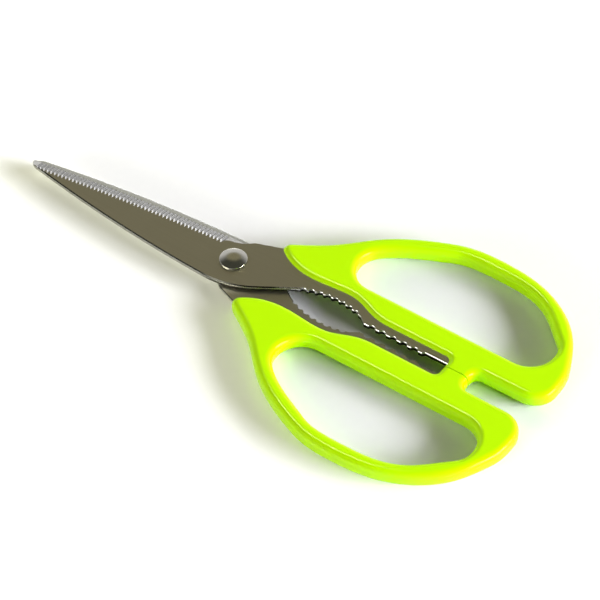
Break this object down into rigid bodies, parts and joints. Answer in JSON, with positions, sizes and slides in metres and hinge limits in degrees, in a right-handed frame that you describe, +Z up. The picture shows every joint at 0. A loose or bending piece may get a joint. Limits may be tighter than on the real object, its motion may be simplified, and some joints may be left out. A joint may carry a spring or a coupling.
{
  "type": "kitchen shears",
  "caption": "Kitchen shears with straight pointed blades, a fine serrated edge, a toothed jaw behind the pivot and long closed finger loops.",
  "frame": {"origin": "centre of the closed shears' outline, on the surface that they lie on", "axes": "+X towards the blade tips, +Y towards the finger loop of the lower blade, +Z up"},
  "size_m": [0.21, 0.104, 0.0073],
  "materials": {
    "blade_steel": "brushed",
    "handle_plastic": "gloss",
    "pivot_steel": "polished",
    "washer_steel": "satin"
  },
  "bodies": {
    "lower_half": {"lower_blade": "blade_steel", "lower_handle": "handle_plastic", "pivot_post": "pivot_steel", "pivot_screw": "pivot_steel", "spring_washer": "washer_steel", "blade_washer": "washer_steel"},
    "upper_half": {"upper_blade": "blade_steel", "upper_handle": "handle_plastic"}
  },
  "joints": [
    {"name": "blade_pivot", "type": "hinge", "parent": "lower_half", "child": "upper_half", "pos_m": [0.0175, 0, 0.00325], "axis": [0, 0, 1], "range_deg": [0, 80]}
  ]
}
